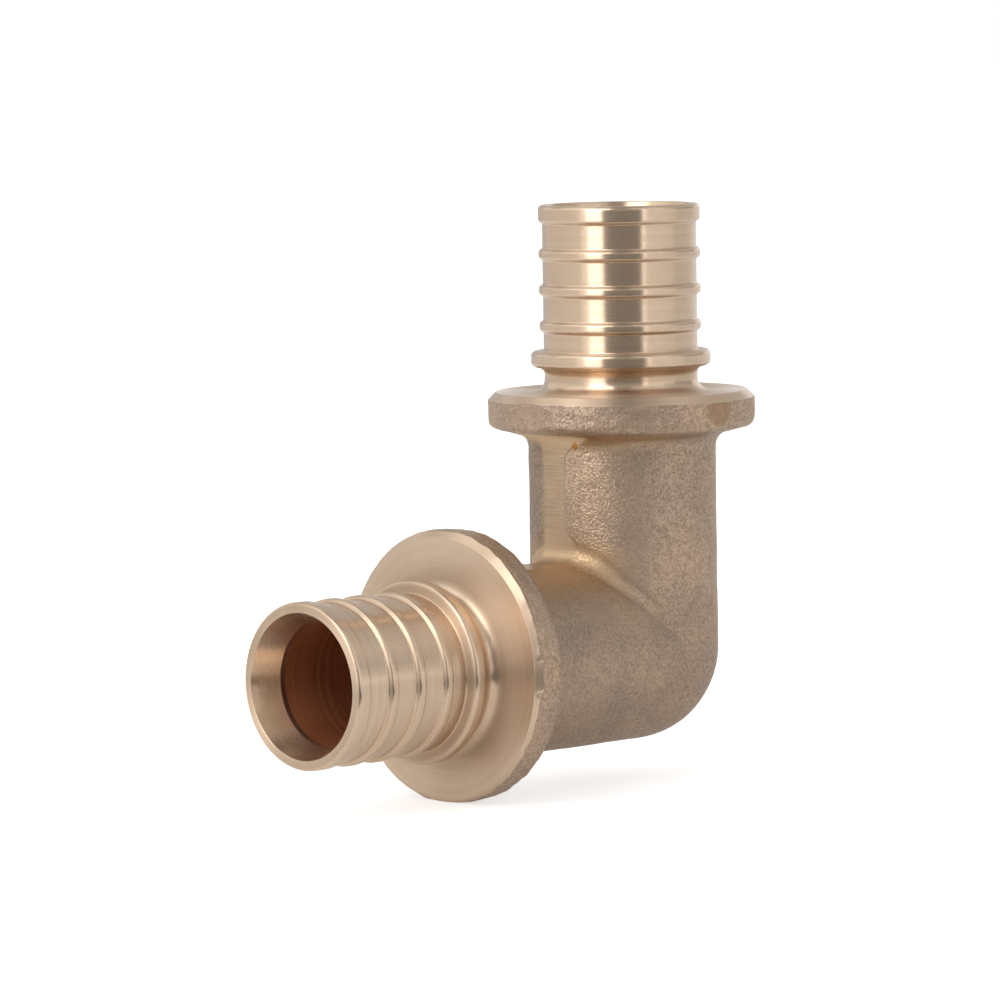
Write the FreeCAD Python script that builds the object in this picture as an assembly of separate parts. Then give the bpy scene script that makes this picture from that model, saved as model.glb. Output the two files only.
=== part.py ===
import FreeCAD, Part
import math
import os

# Elbow for pushed-sleeve joints on 16 mm plastic pipe: one forging, turned and drilled at both ends.
# Millimetres. The origin is where the two bore axes cross. One leg points up +Z, the other along -X.
# A station is a distance along a leg from the crossing of the axes.

# Turned spigot
tip_station = 38.4
lip_diameter = 14.0
lip_width = 1.6
land_diameter = 13.33
rib_diameter = 14.0
rib_count = 3
rib_width = 1.07
rib_flank = 0.28
rib_pitch = 3.12
first_rib_station = 34.7
collar_diameter = 15.55
collar_station = 25.77
collar_width = 1.35
neck_diameter = 13.25
lip_front_round = 0.35
lip_back_flank = 0.25
collar_round = 0.38
neck_round_at_flange = 1.05

# Flange: turned face and chamfer, forged rim and back
flange_face_station = 22.3
flange_diameter = 23.1
upper_flange_chamfer = 0.65
side_flange_chamfer = 0.4
flange_rim_depth = 3.02
flange_back_draft_deg = 14.0
flange_back_round = 0.9
flange_root_round = 1.3

# Forged stem of each leg, and the round that fills the inside corner between the stems
body_diameter = 16.24
inner_corner_round = 1.5
blend_edge_deg = 10.0
blend_reach_deg = 86.0
blend_sections = 13
blend_overlap = 0.3

# Drilled bore with a deep countersink at each mouth
bore_diameter = 10.4
countersink_diameter = 12.3
countersink_depth = 2.5
drill_point_deg = 118.0

# Trimmed flash line: the forging is cut back a little all round its outline in the plane of both axes
body_trim_depth = 0.16
rim_trim_depth = 0.09
trim_stop_station = 19.05
trim_corner_round = 1.0
trim_inner_corner_round = 1.3

# Round ejector marks, standing proud on the flange rims at both sides
mark_diameter = 3.0
mark_proud = 0.15
mark_station = 21.1

# Straight flats that stand in for the rounds of the turned outline, so that its facets stay few
small_round_flats = 1
large_round_flats = 2

# Room that a cutting shape runs past the metal it cuts
cut_clear = 1.0

lip_radius = lip_diameter / 2
land_radius = land_diameter / 2
rib_radius = rib_diameter / 2
collar_radius = collar_diameter / 2
neck_radius = neck_diameter / 2
rim_radius = flange_diameter / 2
body_radius = body_diameter / 2
bore_radius = bore_diameter / 2
countersink_radius = countersink_diameter / 2
# Under the collar, the neck's round runs straight into the round of the collar's edge
neck_round_under_collar = collar_radius - neck_radius - collar_round
flange_back_station = flange_face_station - flange_rim_depth

ORIGIN = FreeCAD.Vector(0, 0, 0)
X_AXIS = FreeCAD.Vector(1, 0, 0)
Y_AXIS = FreeCAD.Vector(0, 1, 0)
Z_AXIS = FreeCAD.Vector(0, 0, 1)


def corner_edges(last_point, corner, next_point, radius, flats):
    """Edges that round one corner: an arc, or that many flats along it, or none for a sharp corner."""
    to_last = (last_point - corner).normalize()
    to_next = (next_point - corner).normalize()
    half_angle = to_last.getAngle(to_next) / 2
    setback = radius / math.tan(half_angle)
    start = corner + to_last * setback
    end = corner + to_next * setback
    if radius == 0:
        return start, end, []
    inward = (to_last + to_next).normalize()
    middle = corner + inward * (radius / math.sin(half_angle) - radius)
    arc = Part.Arc(start, middle, end)
    if flats == 0:
        return start, end, [arc.toShape()]
    steps = arc.discretize(flats + 1)
    return start, end, [Part.makeLine(a, b) for a, b in zip(steps, steps[1:])]


def rounded_outline(corners):
    """Closed wire in the XZ plane through corners (x, z), (x, z, round) or (x, z, round, flats)."""
    full = [(*corner, 0, 0)[:4] for corner in corners]
    points = [FreeCAD.Vector(x, 0, z) for x, z, _, _ in full]
    rounded = []
    for i, (_, _, radius, flats) in enumerate(full):
        next_point = points[(i + 1) % len(points)]
        rounded.append(corner_edges(points[i - 1], points[i], next_point, radius, flats))
    edges = []
    for i, (_, end, round_edges) in enumerate(rounded):
        edges += round_edges
        next_start = rounded[(i + 1) % len(rounded)][0]
        if end.distanceToPoint(next_start) > Part.Precision.confusion():
            edges.append(Part.makeLine(end, next_start))
    return Part.Wire(edges)


def turned_about_z(corners):
    """Solid of revolution about Z from corners (radius, station), with a round and flats where given."""
    return Part.Face(rounded_outline(corners)).revolve(ORIGIN, Z_AXIS, 360)


def prism_along_y(corners, half_width):
    """Solid with the given outline in the XZ plane, reaching half_width to both sides."""
    face = Part.Face(rounded_outline(corners))
    face.translate(Y_AXIS * -half_width)
    return face.extrude(Y_AXIS * 2 * half_width)


def leg_profile(flange_chamfer):
    """Outer outline of one leg: spigot with lip, ribs and collar, then neck, flange and stem."""
    draft_rise = (rim_radius - body_radius) * math.tan(math.radians(flange_back_draft_deg))
    corners = [
        (0, tip_station),
        (lip_radius, tip_station, lip_front_round, small_round_flats),
        (lip_radius, tip_station - lip_width + lip_back_flank),
        (land_radius, tip_station - lip_width),
    ]
    for i in range(rib_count):
        front = first_rib_station - i * rib_pitch
        back = front - rib_width
        corners += [
            (land_radius, front),
            (rib_radius, front - rib_flank),
            (rib_radius, back + rib_flank),
            (land_radius, back),
        ]
    corners += [
        (land_radius, collar_station),
        (collar_radius, collar_station, collar_round, small_round_flats),
        (collar_radius, collar_station - collar_width, collar_round, small_round_flats),
        (neck_radius, collar_station - collar_width, neck_round_under_collar, small_round_flats),
        (neck_radius, flange_face_station, neck_round_at_flange, large_round_flats),
        (rim_radius - flange_chamfer, flange_face_station),
        (rim_radius, flange_face_station - flange_chamfer),
        (rim_radius, flange_back_station, flange_back_round, large_round_flats),
        (body_radius, flange_back_station - draft_rise, flange_root_round, large_round_flats),
        (body_radius, 0),
        (0, 0),
    ]
    return corners


def ejector_marks(flange_chamfer):
    """Two round marks on the rim of a leg's flange, cut by the same turned chamfer."""
    depth = mark_proud + cut_clear
    foot = FreeCAD.Vector(0, rim_radius - cut_clear, mark_station)
    mark = Part.makeCylinder(mark_diameter / 2, depth, foot, Y_AXIS)
    marks = mark.fuse(mark.mirror(ORIGIN, Y_AXIS))
    reach = depth + flange_chamfer + mark_diameter
    face_radius = rim_radius - flange_chamfer
    turned = Part.makeCone(face_radius + reach, face_radius, reach, Z_AXIS * (flange_face_station - reach))
    return marks.common(turned)


def rim_trims():
    """Blocks that cut a flat on the flange rim at both ends of the flash line."""
    inner = rim_radius - rim_trim_depth
    corners = [
        (inner, flange_back_station - flange_back_round),
        (inner + cut_clear, flange_back_station - flange_back_round),
        (inner + cut_clear, flange_face_station),
        (inner, flange_face_station),
    ]
    block = prism_along_y(corners, rim_radius)
    return block.fuse(block.mirror(ORIGIN, X_AXIS))


def leg(flange_chamfer):
    """One whole leg, standing up from the crossing of the axes."""
    return turned_about_z(leg_profile(flange_chamfer)).cut(rim_trims()).fuse(ejector_marks(flange_chamfer))


def laid_along_minus_x(shape):
    """The same shape turned about Y, so that what pointed up points along -X."""
    turned = shape.copy()
    turned.rotate(ORIGIN, Y_AXIS, -90)
    return turned


def outside_corner():
    """Quarter ball that closes the outside of the bend."""
    top = FreeCAD.Vector(0, body_radius, 0)
    arc = Part.Arc(top * -1, FreeCAD.Vector(body_radius, 0, 0), top).toShape()
    half_disc = Part.Face(Part.Wire([arc, Part.makeLine(top, top * -1)]))
    return half_disc.revolve(ORIGIN, Y_AXIS, 90)


def blend_section(angle):
    """Cross-section of the inside fill, square to Y, at an angle round the stems from the plane of the axes.

    The two stems meet in a crease that opens out towards their sides. In each section the round
    shrinks with the crease, and it dips a little under both stems to meet them cleanly.
    """
    centre = body_radius + inner_corner_round * math.cos(math.radians(blend_edge_deg))
    near = centre - inner_corner_round
    inside = body_radius - blend_overlap
    middle = centre - inner_corner_round * math.sqrt(0.5)

    def place(out_side_leg, up_leg):
        shrink = math.cos(angle)
        return FreeCAD.Vector(-out_side_leg * shrink, body_radius * math.sin(angle), up_leg * shrink)

    return Part.Wire([
        Part.makeLine(place(inside, centre), place(near, centre)),
        Part.Arc(place(near, centre), place(middle, middle), place(centre, near)).toShape(),
        Part.makeLine(place(centre, near), place(centre, inside)),
        Part.makeLine(place(centre, inside), place(inside, inside)),
        Part.makeLine(place(inside, inside), place(inside, centre)),
    ])


def inside_corner():
    """Fill of the inside of the bend, widest in the plane of the axes and gone at the sides."""
    step = 2 * blend_reach_deg / (blend_sections - 1)
    angles = [math.radians(-blend_reach_deg + i * step) for i in range(blend_sections)]
    return Part.makeLoft([blend_section(angle) for angle in angles], True)


def flash_trims():
    """Two cutters that follow the forging's outline, inside the bend and outside it."""
    line = body_radius - body_trim_depth
    stop = trim_stop_station
    inner = [
        (-line, line, trim_inner_corner_round),
        (-line, stop, trim_corner_round),
        (-stop, stop),
        (-stop, line, trim_corner_round),
    ]
    outer = [
        (line, stop, trim_corner_round),
        (line, -line, line),
        (-stop, -line, trim_corner_round),
        (-stop, -rim_radius),
        (rim_radius, -rim_radius),
        (rim_radius, stop),
    ]
    return [prism_along_y(inner, rim_radius), prism_along_y(outer, rim_radius)]


def bore_tool():
    """Drill and countersink of one leg, its point just past the crossing of the axes."""
    point_height = bore_radius / math.tan(math.radians(drill_point_deg / 2))
    flare = (countersink_radius - bore_radius) / countersink_depth
    return turned_about_z([
        (0, -point_height),
        (bore_radius, 0),
        (bore_radius, tip_station - countersink_depth),
        (countersink_radius + flare * cut_clear, tip_station + cut_clear),
        (0, tip_station + cut_clear),
    ])


upright = leg(upper_flange_chamfer)
elbow = upright.fuse([laid_along_minus_x(leg(side_flange_chamfer)), outside_corner(), inside_corner()])
elbow = elbow.cut(flash_trims())
elbow = elbow.cut([bore_tool(), laid_along_minus_x(bore_tool())])
elbow = elbow.removeSplitter().Solids[0]

os.makedirs("parts", exist_ok=True)
elbow.exportStep("parts/elbow_body.step")

box = elbow.BoundBox
print("elbow_body", elbow.ShapeType, "faces", len(elbow.Faces), "valid", elbow.isValid())
print("volume mm3 %.1f" % elbow.Volume, "box x %.2f %.2f y %.2f %.2f z %.2f %.2f" % (
    box.XMin, box.XMax, box.YMin, box.YMax, box.ZMin, box.ZMax))
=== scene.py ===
# %% [markdown]
# # A forged brass pipe elbow
# The real part starts as a hot brass bar pressed between two dies. The press leaves a rough, sand-coloured
# skin, soft edges and a thin fin of squeezed-out metal along the outline, which is then ground away. A
# lathe cuts both ends bright: ribs that grip a plastic pipe, a collar, and the face of a round flange. This
# file dresses the plain CAD part in that look. It works in millimetres, and each mesh is made in metres.

# %% Load the CAD part
import math
import bmesh
import bpy
import numpy as np
from mathutils import Matrix, Vector


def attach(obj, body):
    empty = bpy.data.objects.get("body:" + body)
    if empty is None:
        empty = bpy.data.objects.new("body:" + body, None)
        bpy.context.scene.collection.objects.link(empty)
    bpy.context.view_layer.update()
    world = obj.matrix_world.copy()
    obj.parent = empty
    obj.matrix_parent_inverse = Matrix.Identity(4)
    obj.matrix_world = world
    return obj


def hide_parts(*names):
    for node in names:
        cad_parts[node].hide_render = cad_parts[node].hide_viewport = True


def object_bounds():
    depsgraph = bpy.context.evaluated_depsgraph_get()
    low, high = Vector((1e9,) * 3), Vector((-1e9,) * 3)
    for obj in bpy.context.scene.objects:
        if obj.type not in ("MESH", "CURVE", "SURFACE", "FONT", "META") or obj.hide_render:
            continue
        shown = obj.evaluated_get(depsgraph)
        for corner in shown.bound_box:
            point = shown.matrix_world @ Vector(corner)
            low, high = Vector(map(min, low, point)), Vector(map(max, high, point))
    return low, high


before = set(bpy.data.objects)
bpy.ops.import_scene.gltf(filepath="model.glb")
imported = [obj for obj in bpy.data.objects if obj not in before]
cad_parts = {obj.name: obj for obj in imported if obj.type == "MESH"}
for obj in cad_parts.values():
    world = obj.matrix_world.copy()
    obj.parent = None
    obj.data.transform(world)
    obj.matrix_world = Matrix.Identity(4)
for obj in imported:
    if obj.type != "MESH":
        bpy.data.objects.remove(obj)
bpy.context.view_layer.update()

MM = 0.001
cad_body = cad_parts["elbow_body"]

# %% [markdown]
# ## Small helpers for meshes
# Every shape below ends as a plain mesh whose points are already in their final place, so the object itself
# stays at the origin. Blender's ready-made cylinders would have to be moved and joined. A grid of points is
# the easiest mesh to make from a formula: row by row, column by column.


# %% Helpers: a mesh from points, and a plain copy of what a modifier shows
def new_piece(name, points_mm, faces):
    """Object with these points, given in millimetres."""
    mesh = bpy.data.meshes.new(name)
    mesh.from_pydata((np.asarray(points_mm) * MM).tolist(), [], [tuple(f) for f in faces])
    piece = bpy.data.objects.new(name, mesh)
    bpy.context.scene.collection.objects.link(piece)
    return piece


def plain_copy(piece):
    """Swap a piece's mesh for what its modifiers show, then take the modifiers off."""
    shown = piece.evaluated_get(bpy.context.evaluated_depsgraph_get())
    mesh = bpy.data.meshes.new_from_object(shown)
    piece.modifiers.clear()
    piece.data = mesh
    return piece


def shade_smooth(mesh):
    """Let the light run smoothly over every face."""
    mesh.polygons.foreach_set("use_smooth", [True] * len(mesh.polygons))
    mesh.update()


# %% [markdown]
# ## The turned outline
# A lathe follows one outline while the metal spins. The outline runs from inside the mouth, over the tip,
# along the ribs and the collar, down the neck, across the flange face and over the first part of its
# chamfer. It could be drawn as a curve by hand. A list of corners with a round at each is easier to change
# and stays exact. Each corner has its own small round, as the tool's nose and the deburring brush leave it.
# A straight stretch gets a point just inside both of its ends, which keeps the shading of that stretch
# flat.

# %% Sizes of the turned end: radii and stations along the leg, in millimetres
tip_station = 38.4
mouth_radius, mouth_depth, mouth_edge_round = 6.15, 2.5, 0.1
bore_radius, bore_shown, bore_corner_round = 5.2, 1.0, 0.06
lip_radius, lip_width, lip_front_round, lip_back_round = 7.0, 1.6, 0.36, 0.3
land_radius, foot_round, flank_slope = 6.665, 0.16, 0.22
rib_radius, rib_width, rib_pitch, rib_count, rib_round = 7.0, 1.07, 3.12, 3, 0.3
first_rib_station = 34.7
collar_radius, collar_station, collar_width, collar_round = 7.775, 25.77, 1.35, 0.38
neck_radius, neck_round_under_collar, neck_round_at_flange = 6.625, 0.74, 1.05
flange_face_station, upper_face_radius, side_face_radius = 22.3, 10.9, 11.15
face_edge_round, chamfer_start = 0.04, 0.12
print("turned end, mm: tip at", tip_station, "and collar", 2 * collar_radius, "wide")


# %% Helper: an outline with rounded corners
def rounded_outline(corners, steps_per_round=7, keep_flat=0.03):
    """Points (radius, station) along corners (radius, station, round)."""
    line = [Vector(corners[0][:2])]
    for before, corner, after in zip(corners, corners[1:], corners[2:]):
        here = Vector(corner[:2])
        back = (Vector(before[:2]) - here).normalized()
        ahead = (Vector(after[:2]) - here).normalized()
        half = back.angle(ahead) / 2
        size = corner[2]
        setback = size / math.tan(half)
        middle = here + (back + ahead).normalized() * (size / math.sin(half))
        start, end = here + back * setback, here + ahead * setback
        add_straight(line, start, keep_flat)
        first = math.atan2(*(start - middle).yx)
        turn = math.atan2(*(end - middle).yx) - first
        turn = (turn + math.pi) % (2 * math.pi) - math.pi
        for step in range(1, steps_per_round + 1):
            angle = first + turn * step / steps_per_round
            line.append(middle + size * Vector((math.cos(angle), math.sin(angle))))
    add_straight(line, Vector(corners[-1][:2]), keep_flat)
    return np.array([tuple(point) for point in line])


def add_straight(line, end, keep_flat):
    """Go straight to a point, with one more point just inside each end of the stretch."""
    start = line[-1]
    way = end - start
    if way.length > 4 * keep_flat:
        step = way.normalized() * keep_flat
        line += [start + step, end - step]
    line.append(end)


# %% The turned outline of one end
def turned_corners(face_radius):
    """Corners (radius, station, round) from inside the mouth to the first part of the chamfer."""
    corners = [
        (bore_radius, tip_station - mouth_depth - bore_shown, 0),
        (bore_radius, tip_station - mouth_depth, bore_corner_round),
        (mouth_radius, tip_station, mouth_edge_round),
        (lip_radius, tip_station, lip_front_round),
        (lip_radius, tip_station - lip_width + flank_slope, lip_back_round),
        (land_radius, tip_station - lip_width, foot_round),
    ]
    for rib in range(rib_count):
        front = first_rib_station - rib * rib_pitch
        corners += [
            (land_radius, front, foot_round),
            (rib_radius, front - flank_slope, rib_round),
            (rib_radius, front - rib_width + flank_slope, rib_round),
            (land_radius, front - rib_width, foot_round),
        ]
    return corners + [
        (land_radius, collar_station, foot_round),
        (collar_radius, collar_station, collar_round),
        (collar_radius, collar_station - collar_width, collar_round),
        (neck_radius, collar_station - collar_width, neck_round_under_collar),
        (neck_radius, flange_face_station, neck_round_at_flange),
        (face_radius, flange_face_station, face_edge_round),
        (face_radius + chamfer_start, flange_face_station - chamfer_start, 0),
    ]


upper_line = rounded_outline(turned_corners(upper_face_radius))
side_line = rounded_outline(turned_corners(side_face_radius))
print("turned outline:", len(upper_line), "points, radius to", round(float(upper_line[:, 0].max()), 2))

# %% [markdown]
# ## Spin the outline with Geometry Nodes
# The spigot is a shape with a rule, "this outline, turned round this axis". A Screw modifier could spin it,
# but a node tree can also store how far along the outline each point lies, and the material needs that
# distance for its rings of tool marks. The outline comes in as a row of edges. The tree turns it into a
# curve and sweeps it round a circle.

# %% Node tree: a lathe
def lathe_tree():
    """Node tree that sweeps an outline round a circle and keeps the distance along it."""
    tree = bpy.data.node_groups.new("lathe", "GeometryNodeTree")
    face = tree.interface
    face.new_socket("Outline", in_out="INPUT", socket_type="NodeSocketGeometry")
    face.new_socket("Steps Round", in_out="INPUT", socket_type="NodeSocketInt")
    face.new_socket("Finish", in_out="INPUT", socket_type="NodeSocketMaterial")
    face.new_socket("Turned", in_out="OUTPUT", socket_type="NodeSocketGeometry")
    add, link = tree.nodes.new, tree.links.new
    given, result = add("NodeGroupInput"), add("NodeGroupOutput")

    outline = add("GeometryNodeMeshToCurve")
    link(given.outputs["Outline"], outline.inputs["Mesh"])
    place = add("GeometryNodeSplineParameter")
    keep = add("GeometryNodeStoreNamedAttribute")
    keep.data_type = "FLOAT"
    keep.inputs["Name"].default_value = "along"
    link(outline.outputs["Curve"], keep.inputs["Geometry"])
    link(place.outputs["Length"], keep.inputs["Value"])

    circle = add("GeometryNodeCurvePrimitiveCircle")
    circle.inputs["Radius"].default_value = 1 * MM
    link(given.outputs["Steps Round"], circle.inputs["Resolution"])
    upright = add("GeometryNodeSetCurveNormal")
    upright.mode = "Z_UP"
    link(circle.outputs["Curve"], upright.inputs["Curve"])

    sweep = add("GeometryNodeCurveToMesh")
    link(upright.outputs["Curve"], sweep.inputs["Curve"])
    link(keep.outputs["Geometry"], sweep.inputs["Profile Curve"])
    smooth = add("GeometryNodeSetShadeSmooth")
    link(sweep.outputs["Mesh"], smooth.inputs["Geometry"])
    real = add("GeometryNodeRealizeInstances")
    link(smooth.outputs["Geometry"], real.inputs["Geometry"])
    finish = add("GeometryNodeSetMaterial")
    link(real.outputs["Geometry"], finish.inputs["Geometry"])
    link(given.outputs["Finish"], finish.inputs["Material"])
    link(finish.outputs["Geometry"], result.inputs["Turned"])
    return tree


def add_tree(piece, tree, **values):
    """Put a node tree on a piece and set its named inputs."""
    modifier = piece.modifiers.new(tree.name, "NODES")
    modifier.node_group = tree
    for item in tree.interface.items_tree:
        key = item.name.replace(" ", "_").lower()
        if item.in_out == "INPUT" and key in values:
            modifier[item.identifier] = values[key]


# %% Turn both spigots
steps_round = 256
turned_brass = bpy.data.materials.new("turned_brass")
forged_brass = bpy.data.materials.new("forged_brass")
lay_down = Matrix.Rotation(-math.pi / 2, 4, "Y")


def face_outwards(piece, outward):
    """Turn every face round if most of them look inwards."""
    mesh = piece.data
    votes = sum(1 if f.normal.dot(outward(f.center)) > 0 else -1 for f in mesh.polygons)
    if votes < 0:
        mesh.flip_normals()


def turned_spigot(name, outline, placed):
    """One turned end: its outline spun by the tree, then moved to its leg."""
    # The sweep's circle has a radius of 1 mm, so the outline is drawn that much nearer to the axis.
    # The tree's normal looks outwards and its second direction looks down.
    line = [(radius - 1.0, -station, 0.0) for radius, station in outline]
    mesh = bpy.data.meshes.new(name)
    mesh.from_pydata((np.array(line) * MM).tolist(), [(i, i + 1) for i in range(len(line) - 1)], [])
    piece = bpy.data.objects.new(name, mesh)
    bpy.context.scene.collection.objects.link(piece)
    add_tree(piece, lathe_tree(), steps_round=steps_round, finish=turned_brass)
    plain_copy(piece)
    flat = Vector((1, 1, 0))
    mouth = (tip_station - mouth_depth) * MM
    face_outwards(piece, lambda c: c * flat if c.z < mouth else Vector((0, 0, 1)))
    piece.data.transform(placed)
    return piece


upper_spigot = turned_spigot("upper_spigot", upper_line, Matrix.Identity(4))
side_spigot = turned_spigot("side_spigot", side_line, lay_down)
print("spigot:", len(upper_spigot.data.polygons), "faces, box mm",
      [round(v / MM, 2) for v in upper_spigot.dimensions])

# %% [markdown]
# ## The forged skin
# The forging is one skin that runs from the chamfer of the upper flange, down the stem, round the bend and
# out to the chamfer of the side flange. The press and the trimming tool leave a flat strip along the
# outside and the inside of the bend. The skin could be sculpted from a rough cage, but then no size in it
# would be true. A grid of points suits it: each row is one ring round the leg, and each column runs the
# whole way along the part. The angle of a column is counted from the outside of the bend.

# %% Sizes of the forging, in millimetres
rim_radius, rim_depth, rim_flat_depth = 11.55, 3.02, 0.14
back_draft, back_round, root_round = math.radians(14), 0.9, 1.3
stem_radius, inner_round = 8.12, 1.5
strip_line, strip_stop, strip_round, strip_softness = 7.96, 19.05, 1.0, 0.03
strip_middle, strip_half_width, inner_strip_line = 0.52, 1.38, 7.85
panel_top, panel_corner, panel_edge, panel_rise, panel_above_bend = 17.95, 1.6, 0.3, 0.05, 0.4
mark_radius, mark_station, mark_softness = 1.5, 21.1, 0.14
upper_mark_top, side_mark_top, side_rim_lift = 11.57, 11.67, 0.2
straight_from, far_from_bend = 16.7, 10.0
print("forging, mm: rim", 2 * rim_radius, "wide, stem", 2 * stem_radius, "wide")

# %% Angles of the columns
columns_per_quarter, closeness, close_zone = 76, 1.5, 14.0


def smooth_step(value):
    """0 below 0, 1 above 1, and an easy curve between."""
    t = np.clip(value, 0, 1)
    return t * t * (3 - 2 * t)


def column_angles():
    """Angles once round, closer together near the strips and the ejector marks."""
    angle = np.linspace(0, 360, 7201)
    near = np.abs((angle + 45) % 90 - 45) < close_zone
    room = np.cumsum(1 + closeness * near)
    steps = np.linspace(room[0], room[-1], 4 * columns_per_quarter + 1)[:-1]
    return np.radians(np.interp(steps, room, angle))


angles = column_angles()
cos_angle, outer = np.cos(angles), np.cos(angles) >= 0
print("columns of the skin:", len(angles))


# %% Helpers: more points on a line, and gentle waves
def close_points(line, longest):
    """The same line with extra points, so that none are further apart than the longest step."""
    result = [line[0]]
    for a, b in zip(line, line[1:]):
        parts = max(1, math.ceil(np.hypot(*(b - a)) / longest))
        result += [a + (b - a) * k / parts for k in range(1, parts + 1)]
    return np.array(result)


def waves(points, length, seed, count=24):
    """Gentle random height, mostly between -1 and 1, over points in millimetres."""
    rng = np.random.default_rng(seed)
    ways = rng.normal(size=(count, 3))
    ways /= np.linalg.norm(ways, axis=1, keepdims=True)
    ways *= 2 * np.pi / (length * rng.uniform(0.7, 1.5, (count, 1)))
    phases = rng.uniform(0, 2 * np.pi, count)
    return np.sin(points @ ways.T + phases).sum(-1) / math.sqrt(count)


# %% [markdown]
# ## The trimmed strip and the raised panels
# On the real part, a tool cut the fin away inside the bend and left a strip with a flat face. The skin
# beside the strip stands a little proud, as a panel with round corners. Boolean cuts could make both, but
# they leave ragged edges on a dense skin. Here the tool is a formula instead: it says how deep a point lies
# inside the cut, and the point slides out by that much, so every edge stays soft and the rows and columns
# stay whole.

# %% Panels beside the strip
def panel(y, s, above_bend):
    """1 on the raised panels at both sides of a stem, 0 on the strip between them and above their tops."""
    beside_strip = np.abs(y - strip_middle) - strip_half_width
    from_end = np.minimum(panel_top - s, above_bend - panel_above_bend)
    in_corner = (beside_strip < panel_corner) & (from_end < panel_corner)
    to_corner = np.hypot(panel_corner - beside_strip, panel_corner - from_end)
    depth = np.where(in_corner, panel_corner - to_corner, np.minimum(beside_strip, from_end))
    return smooth_step(depth / panel_edge + 0.5)


sunk_fades_round = 0.3


def sunk_inside(angle):
    """How far the skin beside the panels lies below them. It fades out at the sides of the stem."""
    return panel_rise * smooth_step(-np.cos(angle) / sunk_fades_round)


def strip_height(u, on_panel):
    """How far out the trimmed face lies. Inside the bend, the tool spared the panels."""
    return np.where(u < 0, inner_strip_line + on_panel, strip_line)


# %% The trimming tool
trim_reaches_in = 5.0


def push_out_of_strip(u, s, on_panel):
    """Slide points out of the trimming tool. Also tells how much of each point is trimmed."""
    line = strip_height(u, on_panel)
    out = np.abs(u) - line
    corner_u, corner_s = out - strip_round, s - (strip_stop - strip_round)
    in_corner = (corner_u < 0) & (corner_s > 0)
    reach = np.hypot(corner_u, corner_s) + 1e-9
    beside = np.minimum(out, strip_stop - s)
    depth = np.where(in_corner, strip_round - reach, beside)
    push = (depth + np.sqrt(depth ** 2 + strip_softness ** 2)) / 2
    sideways = np.where(in_corner, corner_u / reach, np.where(out < strip_stop - s, -1.0, 0.0))
    upwards = np.where(in_corner, corner_s / reach, np.where(out < strip_stop - s, 0.0, 1.0))
    inside = smooth_step(depth / (2 * strip_softness) + 0.5)
    near = np.abs(u) > trim_reaches_in
    return (np.where(near, np.abs(u) + push * sideways, np.abs(u)) * np.sign(u),
            np.where(near, s + push * upwards, s), inside * near)


def soft_least(value, limit, softness):
    """The smaller of two numbers, with a soft change between them."""
    return value - ((value - limit) + np.sqrt((value - limit) ** 2 + softness ** 2)) / 2


# %% [markdown]
# ## From a ring to the forged leg
# A forged flange is never as true as a turned one. Its rim is a little out of round, the side leg's rim
# sits a little high, and the pins that pushed the part out of the die left a round mark on each side.
# Sculpting could add all this by eye. Here each ring of points is moved by small rules, one for each fault,
# so that each can be changed by itself.

# %% Move ring points to the forged shape
rim_starts, rim_blend, rim_roughness, rim_bump_length, rim_seed = 10.4, 0.8, 0.03, 1.1, 5
bump_stretch, leg_offset = 1.2, 90
flat_keeps, lift_starts, lift_blend = 0.15, 0.3, 2.2


def forged_ring(radius, angle, station, lift, mark_top, has_panels):
    """Points (outwards, sideways, along) of a leg, with masks for the strip and the ejector marks."""
    u, y = radius * np.cos(angle), radius * np.sin(angle)
    s = station + 0 * u
    on_rim = smooth_step((radius - rim_starts) / rim_blend)
    bump = waves(np.stack([u, y, s * bump_stretch + lift * leg_offset], -1), rim_bump_length, rim_seed)
    grow = 1 + on_rim * rim_roughness * bump / radius
    u, y = u * grow, y * grow
    limit = rim_radius - rim_flat_depth
    u = np.where(np.abs(u) > limit, np.sign(u) * (limit + flat_keeps * (np.abs(u) - limit)), u)
    mark = smooth_step((mark_radius - np.hypot(u, s - mark_station)) / mark_softness + 0.5) * on_rim
    y = np.where(mark > 0, y + (np.sign(y) * mark_top - y) * mark, y)
    u = u - lift * smooth_step((radius - stem_radius - lift_starts) / lift_blend)
    on_panel = has_panels * panel(y, s, far_from_bend)
    sunk = 1 - has_panels * sunk_inside(angle) * (1 - on_panel) * (1 - on_rim) / radius
    u, s, trimmed = push_out_of_strip(u * sunk, s, on_panel)
    return u, y * sunk, s, trimmed, mark, np.maximum(on_panel, on_rim)


# %% Rows of one leg
rim_line_from, chamfer_line_to = 0.6, 0.7
rim_round_steps, longest_step = 9, 0.14
chamfer_shares = (0, 0.3, 0.6, 0.9, 0.97)


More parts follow.
